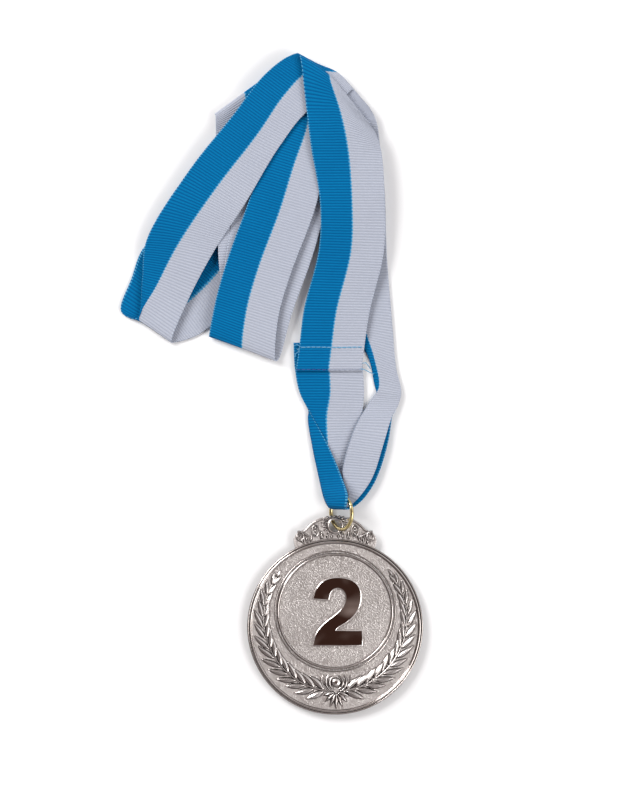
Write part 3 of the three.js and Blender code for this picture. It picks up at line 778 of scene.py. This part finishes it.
cloth_bump.inputs["Strength"].default_value = 0.75
cloth_bump.inputs["Distance"].default_value = 0.16 * MM
fuzzy_height = math_node(cloth_tree, "MULTIPLY_ADD", fuzz.outputs["Mask"], 0.15, threads.outputs["Height"])
wire(cloth_tree, (fuzzy_height, cloth_bump.inputs["Height"]),
     (cloth_bump.outputs["Normal"], cloth_shader.inputs["Normal"]))

# %% [markdown]
# ## The ribbon's route
# The band is one long strip, sewn into a loop and laid down in folds. Its route is a list of
# stations, each of four points across the band: the blue edge, the middle of the blue
# half, the line where the colours meet, and the white edge. A smooth curve runs through each of
# the four, and the strip is what lies between them. Cloth simulation would settle the folds
# somewhere else each time a size changed, so the folds are placed, and only the small waves
# between them are added by formula.

# %% Stations
def flat(bx, by, wx, wy, z):
    """A flat station between two edge points, at one height."""
    blue, white = np.array([bx, by, z], float), np.array([wx, wy, z], float)
    return [lerp(blue, white, share) for share in (0, 0.25, 0.5, 1)]


def bent(*points):
    """A station whose four points are given one by one."""
    return [np.array(p, float) for p in points]


ROUTE = [
    # up from the seam, on top of everything, to a slanting fold at the peak
    flat(-14.6, 94.5, 9.9, 94.5, 2.1),
    flat(-13.2, 104, 10.9, 104, 2.1),
    flat(-11.6, 117, 12.8, 116.5, 2.8),
    flat(-6, 139.5, 18, 138.5, 4.4),
    flat(-5.6, 157, 18.3, 157, 5.9),
    bent([-8.9, 177, 6.8], [-2, 177, 6.8], [4.8, 177, 6.7], [16.9, 176, 6.2]),
    bent([-10.6, 191, 7.5], [-4.3, 190.9, 7.6], [1.9, 190.5, 7.4], [14.6, 182.8, 6.4]),
    bent([-12.6, 208.6, 7.6], [-7.2, 205.6, 7.8], [-1.9, 201.8, 7.6], [12.5, 185.6, 6.2]),
    bent([-13, 210.6, 6.6], [-7.6, 207.6, 6.6], [-2.2, 203.4, 6.4], [12.6, 185.8, 5]),
    # left under the left-hand run, to a fold that shows at the upper left
    bent([-13, 210.2, 2.6], [-8, 206.8, 2.6], [-3, 202.4, 2.6], [12, 184.5, 2.6]),
    flat(-17.5, 208, -8, 180, 2.1),
    flat(-22.8, 205.2, -44.4, 189.4, 2.1),
    # down behind the left-hand and middle runs
    flat(-22.6, 204.9, -44.2, 189.1, 3),
    flat(-21.5, 190, -44.1, 183, 3),
    bent([-20, 158, 3], [-25.8, 157.5, 3], [-31.7, 157, 3.1], [-43.4, 156, 3.8]),
    bent([-19.5, 135, 2.7], [-25.4, 135, 2.7], [-31.2, 135, 2.8], [-43, 135, 3.2]),
    flat(-21, 124, -42, 126, 2.6),
    # back up under the middle run, over a slanting fold, to the peak
    flat(-21, 123, -42, 125.5, 3.2),
    flat(-14, 152.5, -37, 158.5, 3.7),
    flat(-8.5, 176.5, -31.5, 184.5, 3.8),
    flat(-30, 187, -8.5, 178.5, 4.5),
    flat(-23, 196, -3, 186.5, 4.5),
    flat(-17.5, 203, -0.5, 193, 4.5),
    # the middle run, down to its crisp double fold
    flat(-17.2, 203.4, -0.3, 193.4, 5.3),
    flat(-21.2, 189.5, 1, 181.5, 5.2),
    flat(-26.6, 173.7, -3.8, 166.7, 5.1),
    flat(-32, 156.8, -8.8, 150.2, 4.9),
    flat(-39.5, 136.5, -16.5, 130, 4.6),
    flat(-44, 121, -21, 114, 4.3),
    flat(-46.5, 108, -22, 98.5, 3),
    # back up behind itself
    flat(-46.5, 107.5, -20.9, 98.9, 1.7),
    bent([-40.5, 124.5, 1.6], [-34.4, 122.2, 1.7], [-28.2, 120, 1.9], [-16, 115.5, 2.5]),
    bent([-34, 143, 1.6], [-27.8, 140.9, 1.8], [-21.6, 138.8, 2.2], [-9.2, 134.5, 3.2]),
    bent([-29.5, 157.5, 1.7], [-23.3, 155.4, 1.9], [-17.2, 153.2, 2.4], [-4.8, 149, 3.5]),
    bent([-25.5, 170.5, 1.8], [-19.5, 168.8, 2], [-13.5, 167, 2.1], [-1.5, 163.5, 2.2]),
    # down to the left on the surface, to the bottom left loop
    flat(-25.3, 170.8, -1.3, 163.8, 0.7),
    flat(-27.6, 168.4, -3.9, 160.3, 0.5),
    flat(-48, 147, -27, 129, 0.35),
    bent([-69.5, 141.6, 0.35], [-58, 132.5, 0.35], [-48.5, 125.3, 0.35], [-40.5, 115.5, 0.35]),
    bent([-75.5, 128.5, 0.5], [-67, 122.5, 0.5], [-59, 116.5, 0.5], [-51.5, 107.5, 0.5]),
    bent([-79.2, 116.5, 0.85], [-74, 114, 0.85], [-68.5, 112, 0.85], [-59.8, 105.1, 0.8]),
    # the left-hand run, up to the peak
    bent([-73.2, 114, 1.9], [-72.9, 113.9, 1.9], [-72.4, 113.7, 1.9], [-60.5, 105.4, 1.9]),
    bent([-71.3, 128, 2.6], [-69, 127.2, 2.6], [-65.8, 126.3, 2.6], [-54.2, 121, 2.6]),
    bent([-69.7, 142.6, 4], [-64, 142.2, 4], [-57.8, 141.4, 3.9], [-44.8, 138.6, 3.9]),
    flat(-54, 168.3, -33.6, 155.6, 5.2),
    bent([-38, 188.4, 6], [-33.2, 185, 6], [-28.5, 181.8, 6], [-20.3, 177.6, 6]),
    flat(-27, 202.7, -9.8, 190.3, 6.3),
    bent([-18.5, 209.8, 6.2], [-14.5, 207.4, 6.2], [-10.2, 204.4, 6], [1.5, 194, 4.8]),
    bent([-13.9, 211.7, 4.6], [-7.2, 208, 4.4], [-0.6, 204.8, 4.2], [6.5, 198.4, 3.9]),
    # down behind the front run, to the right-hand side
    bent([-13.6, 211.2, 3.6], [-5.8, 207.2, 3.5], [0.9, 204.6, 3.4], [7.8, 197.2, 3.5]),
    bent([-13.2, 200, 2], [-5.8, 200, 2.2], [2, 199.6, 3], [12.6, 191.9, 3.4]),
    bent([-11, 188, 1.4], [-3, 188, 1.6], [5, 188, 2.2], [15.3, 186.5, 2.9]),
    flat(-9.2, 177.5, 16.7, 177, 1.4),
    flat(-6, 160.5, 18.4, 160.5, 1.1),
    flat(-5, 135.5, 19.2, 136.5, 1),
    bent([0.5, 113.5, 0.8], [5.5, 113.5, 0.8], [10.4, 113, 0.8], [21.2, 111.5, 0.8]),
    bent([17, 97.2, 0.4], [12.9, 98.4, 0.5], [14.8, 98.4, 1.1], [22.6, 95.6, 1.3]),
    bent([19.6, 87.4, 0.5], [15.1, 88.2, 0.6], [16.3, 88.4, 1.2], [24.5, 87, 1.5]),
    bent([22, 82.2, 0.5], [17.3, 82.3, 0.6], [12.8, 82.8, 1.1], [23.6, 82.6, 1.6]),
    bent([20.9, 76.3, 1.1], [15, 76.6, 1.3], [9.4, 77.2, 2], [21, 77.4, 2.2]),
    bent([19.5, 67.6, 1.9], [13, 68.8, 2], [6.2, 70.2, 2.4], [18.2, 68.6, 3]),
    bent([15, 54, 2.1], [8.8, 54.5, 2.3], [2.8, 55.5, 2.8], [13.7, 55, 3.3]),
    bent([9.8, 46.5, 2.1], [7.4, 47.5, 2.4], [5, 48.6, 2.8], [8.4, 47.4, 3.4]),
    # through the jump ring and up over its top, gathered, with the blue edge folded to the front
    bent([6.5, 44.2, 3.4], [3.6, 44.6, 2.2], [3.2, 45.2, 2.6], [5.2, 44.6, 3.2]),
    bent([4.4, 43.6, 6.2], [-1.6, 43.7, 3], [1.3, 43.6, 3.4], [3.4, 43.7, 4.6]),
    bent([4, 44.5, 10.4], [-2.8, 44.9, 4.4], [0.6, 44.9, 6.2], [2.9, 44.8, 8.4]),
    bent([4.5, 48.6, 11.2], [-4.1, 47.8, 3.6], [0.2, 48.6, 5.8], [3.4, 49, 8.9]),
    bent([2.5, 55.2, 4.8], [-5.7, 54.6, 2.1], [-2, 55, 2.2], [2.2, 55.8, 1.3]),
    bent([-2.7, 67.2, 2.7], [-8.3, 67, 1.4], [-2.6, 67.5, 1.3], [8.2, 68, 1]),
    bent([-8.8, 78.4, 1.6], [-9.8, 78.2, 1.2], [-2.9, 78, 1], [9.9, 78, 1]),
    bent([-13.1, 86.5, 1.1], [-7.5, 86.5, 1.1], [-1.7, 86.5, 1.1], [10.7, 86, 1.1]),
    bent([-14.9, 95.5, 1.15], [-8.5, 95.5, 1.15], [-2, 95.3, 1.15], [10.3, 95, 1.15]),
    bent([-15.4, 105, 1.15], [-9, 105, 1.15], [-2.5, 105, 1.15], [9.6, 105, 1.15]),
]
print("stations", len(ROUTE))

# %% [markdown]
# A curve through points is smooth only if its speed fits their spacing. Where two stations lie
# close together, as at a fold, a plain spline would swing out in a loop. The centripetal kind
# doesn't loop, though it can still dip past a fold, so no row is let below the floor.

# %% Smooth rows between the stations
def through(p0, p1, p2, p3, t):
    """A centripetal Catmull-Rom point between p1 and p2, for each t from 0 to 1."""
    d = [max(np.linalg.norm(b - a) ** 0.5, 1e-4) for a, b in ((p0, p1), (p1, p2), (p2, p3))]
    m1 = (p1 - p0) / d[0] - (p2 - p0) / (d[0] + d[1]) + (p2 - p1) / d[1]
    m2 = (p2 - p1) / d[1] - (p3 - p1) / (d[1] + d[2]) + (p3 - p2) / d[2]
    m1, m2 = m1 * d[1], m2 * d[1]
    late = 3 * t**2 - 2 * t**3
    return (1 - late) * p1 + late * p2 + (t**3 - 2 * t**2 + t) * m1 + (t**3 - t**2) * m2


def rows_through(stations, spacing, least):
    """Rows of four points along the route, spaced evenly, and closer at the folds."""
    rows = []
    padded = [[2 * a - b for a, b in zip(stations[0], stations[1])], *stations,
              [2 * a - b for a, b in zip(stations[-1], stations[-2])]]
    for k in range(1, len(padded) - 2):
        reach = max(np.linalg.norm(b - a) for a, b in zip(padded[k], padded[k + 1]))
        steps = max(least, math.ceil(reach / spacing))
        for i in range(steps):
            rows.append([through(*(padded[k + j][line] for j in (-1, 0, 1, 2)), i / steps) for line in range(4)])
    return rows + [stations[-1]]


def across_row(row, shares):
    """Points across the band, rounded where it creases."""
    at = (0, 0.25, 0.5, 1)
    ends = [2 * row[0] - row[1], *row, 2 * row[3] - row[2]]
    points = []
    for u in shares:
        k = min(2, int(np.searchsorted(at, u, side="right")) - 1)
        points.append(through(*ends[k:k + 4], (u - at[k]) / (at[k + 1] - at[k])))
    return points


shares = [0, 0.02] + [0.0625 * k for k in range(1, 16)] + [0.98, 1]
rows = rows_through(ROUTE, 1.4, 6)
surface = np.array([across_row(row, shares) for row in rows])
step_lengths = np.linalg.norm(np.diff(surface[:, len(shares) // 2], axis=0), axis=1)
run = np.concatenate([[0], np.cumsum(step_lengths)])
print("rows", len(rows), "length", round(run[-1]), "mm")

# %% [markdown]
# Real cloth is never flat between its folds. Long shallow waves lift it a few tenths of a
# millimetre, more at one edge than the other.

# %% Waves in the band
for i, s in enumerate(run):
    for j, u in enumerate(shares):
        wave = 0.16 * math.sin(s / 11.0 + 1.7 * u) + 0.1 * math.sin(s / 4.3 - 2.6 * u + 0.8)
        surface[i, j, 2] += wave * (0.35 + abs(u - 0.5))
LOWEST = 0.3  # just over half the cloth's thickness
surface[:, :, 2] = np.maximum(surface[:, :, 2], LOWEST)

# %% Ribbon
RIBBON_W, RIBBON_T = 24, 0.5
cols = len(shares)
ribbon = make_piece("ribbon_band", surface.reshape(-1, 3).tolist(), grid_faces(len(rows), cols), cloth,
                    "ribbon", "ribbon")
layer = ribbon.data.uv_layers.new(name="band")
for loop in ribbon.data.loops:
    i, j = divmod(loop.vertex_index, cols)
    layer.data[loop.index].uv = (shares[j], run[i])
thick = ribbon.modifiers.new("cloth thickness", "SOLIDIFY")
thick.thickness = RIBBON_T * MM
thick.offset = 0
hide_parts("neck_ribbon")
print("ribbon faces", len(ribbon.data.polygons))

# %% [markdown]
# ## The seam's stitching
# The two ends overlap and are sewn across twice. A sewing machine's stitch shows as short threads
# in a row, each one rising out of the cloth and going back down, so each stitch is its own small
# arch. At the right the thread's tail was left uncut.

# %% Thread material and stitches
thread_material, thread_tree, thread_shader = new_material("sewing thread", 0.7, 0.0, (0.3, 0.62, 0.85))
twist_place = thread_tree.nodes.new("ShaderNodeTexCoord")
twist = thread_tree.nodes.new("ShaderNodeTexWave")
twist.inputs["Scale"].default_value = 900
twist.inputs["Distortion"].default_value = 1.5
wire(thread_tree, (twist_place.outputs["Object"], twist.inputs["Vector"]))
wire(thread_tree, (mix_colours(thread_tree, twist.outputs["Fac"], (0.05, 0.22, 0.42), (0.2, 0.5, 0.7)),
                   thread_shader.inputs["Base Color"]))


def uneven_thread(name, dark, light):
    material, tree, shader = new_material(name, 0.75, 0.0, dark)
    tone = place_group(tree, patches, Scale=700, Contrast=2)
    wire(tree, (mix_colours(tree, tone.outputs["Mask"], dark, light), shader.inputs["Base Color"]))
    return material


# the lower row's thread is painted in the shadow of the top end's cut edge: navy over blue, grey over white
thread_shaded_on_blue = uneven_thread("sewing thread in painted shade on blue", (0.0, 0.02, 0.17), (0.03, 0.1, 0.32))
thread_shaded_on_white = uneven_thread("sewing thread in painted shade on white", (0.24, 0.27, 0.36), (0.42, 0.45, 0.54))


def thread_piece(line, r, sides=8):
    """A round thread along points, closed at both ends."""
    line = np.array(line, float)
    ahead = np.gradient(line, axis=0)
    points = []
    for p, d in zip(line, ahead):
        d = Vector(d).normalized()
        side = d.cross(Vector((0, 0, 1))).normalized()
        up = side.cross(d)
        points += [tuple(Vector(p) + (side * math.cos(a) + up * math.sin(a)) * r)
                   for a in (2 * math.pi * j / sides for j in range(sides))]
    faces = []
    for i in range(len(line) - 1):
        for j in range(sides):
            a, b = i * sides + j, i * sides + (j + 1) % sides
            faces.append((a, b, b + sides, a + sides))
    faces += [tuple(reversed(range(sides))), tuple(range((len(line) - 1) * sides, len(line) * sides))]
    return points, faces


def stitch_row(left, right, y, z, pitch=1.9):
    parts = []
    for k in range(round((right - left) / pitch)):
        x = left + pitch * k
        line = [(x + pitch * 0.86 * t, y + 0.06 * math.sin(7 * k), z + 0.34 * math.sin(math.pi * t) - 0.12)
                for t in np.linspace(0, 1, 9)]
        parts.append(thread_piece(line, 0.19))
    return parts


seam_z = ROUTE[0][0][2] + RIBBON_T / 2 + 0.08
upper_parts = stitch_row(-12.6, 10.4, 103.3, seam_z)
tangle = [(-15.1, 103.9), (-14.0, 104.3), (-12.9, 103.5), (-13.6, 102.5), (-14.3, 102.9), (-13.2, 102.0),
          (-14.6, 100.9), (-14.9, 99.6)]
upper_parts.append(thread_piece([(x, y, seam_z - 0.05 + 0.2 * (k % 2)) for k, (x, y) in enumerate(tangle)], 0.13))
upper = make_piece("seam_stitches_upper", *join_parts(upper_parts), thread_material, "ribbon", "thread")
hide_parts("upper_stitch_row")
# the lower row is painted in shadow: navy over the blue half, grey over the white half
lower = make_piece("seam_stitches_lower", *join_parts(stitch_row(-14.4, 9.6, 95.0, seam_z - 0.12)),
                   [thread_shaded_on_blue, thread_shaded_on_white], "ribbon", "thread")
for face in lower.data.polygons:
    face.material_index = int(face.center.x > -2.4 * MM)
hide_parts("lower_stitch_row")
tails = [[(9.2, 95.2, seam_z), (10.6, 95.2, seam_z + 0.25), (11.8, 94.6, seam_z), (13.0, 93.9, seam_z - 0.4),
          (14.4, 93.4, 1.7)],
         [(10.2, 97.4, seam_z), (11.4, 97.6, seam_z + 0.1), (12.2, 96.6, seam_z - 0.3), (13.0, 95.4, 1.8)]]
tail_threads = make_piece("loose_thread_tails", *join_parts([thread_piece(t, 0.15) for t in tails]), thread_material,
                          "ribbon", "thread")

# %% [markdown]
# ## Floor and light
# The floor is a plain pale sheet. Polished metal shows what is around it, so the light matters
# more than its colour here: a bright sky all round, with a warm dark patch straight overhead where
# a person would lean over the table, and two soft boxes. The flat numeral mirrors the dark patch,
# while everything that leans catches the bright sides.

# %% Floor
floor_material = new_material("pale floor", 0.9, 0.0, (0.93, 0.93, 0.93))[0]
floor_mesh = bpy.data.meshes.new("floor")
FLOOR = 2.2  # metres from its middle to each side
corners = [(x * FLOOR, y * FLOOR, 0) for x, y in ((-1, -1), (1, -1), (1, 1), (-1, 1))]
floor_mesh.from_pydata(corners, [], [(0, 1, 2, 3)])
floor_mesh.materials.append(floor_material)
floor = add_object("floor", floor_mesh)
floor.location = (0, 0.08, -0.0001)

# %% Sky
world = bpy.data.worlds.new("soft room")
world.use_nodes = True
bpy.context.scene.world = world
sky = world.node_tree
background = sky.nodes["Background"]
sky_place = sky.nodes.new("ShaderNodeTexCoord")
sky_split = sky.nodes.new("ShaderNodeSeparateXYZ")
ramp = sky.nodes.new("ShaderNodeValToRGB")
ramp.color_ramp.elements[0].position = 0.78
ramp.color_ramp.elements[0].color = (1.0, 1.0, 1.02, 1)
ramp.color_ramp.elements[1].position = 0.985
ramp.color_ramp.elements[1].color = (0.04, 0.018, 0.013, 1)
shade_stop = ramp.color_ramp.elements.new(0.93)
shade_stop.color = (0.2, 0.15, 0.135, 1)
clutter = sky.nodes.new("ShaderNodeTexNoise")
clutter.inputs["Scale"].default_value = 1.6
clutter.inputs["Detail"].default_value = 1.5
dim = math_node(sky, "MULTIPLY", math_node(sky, "SUBTRACT", clutter.outputs["Fac"], 0.5), 6, clamp=True)
room = mix_colours(sky, math_node(sky, "MULTIPLY", dim, 0.85), ramp.outputs["Color"], (0.1, 0.07, 0.06))
sideways = math_node(sky, "MULTIPLY", sky_split.outputs["X"], 0.85)
leaning = math_node(sky, "MULTIPLY_ADD", sky_split.outputs["Y"], 0.5, sideways)
far_wall = math_node(sky, "MULTIPLY_ADD", leaning, -2.2, -0.25, clamp=True)
room = mix_colours(sky, math_node(sky, "MULTIPLY", far_wall, 0.8), room, (0.07, 0.045, 0.04))
wire(sky, (sky_place.outputs["Generated"], sky_split.inputs[0]), (sky_split.outputs["Z"], ramp.inputs["Fac"]),
     (sky_place.outputs["Generated"], clutter.inputs["Vector"]), (room, background.inputs["Color"]))
background.inputs["Strength"].default_value = 1.12

# %% Soft boxes
def soft_box(name, place, size, power, aim=(0, 0.08, 0)):
    light = bpy.data.lights.new(name, "AREA")
    light.shape = "SQUARE"
    light.size = size
    light.energy = power
    lamp = add_object(name, light)
    lamp.location = place
    lamp.rotation_euler = (Vector(aim) - Vector(place)).to_track_quat("-Z", "Y").to_euler()


soft_box("window_left", (-0.8, 0.7, 0.8), 0.6, 13)
soft_box("fill_right", (0.8, -0.3, 0.8), 0.7, 6)
bpy.context.scene.view_settings.view_transform = "Standard"
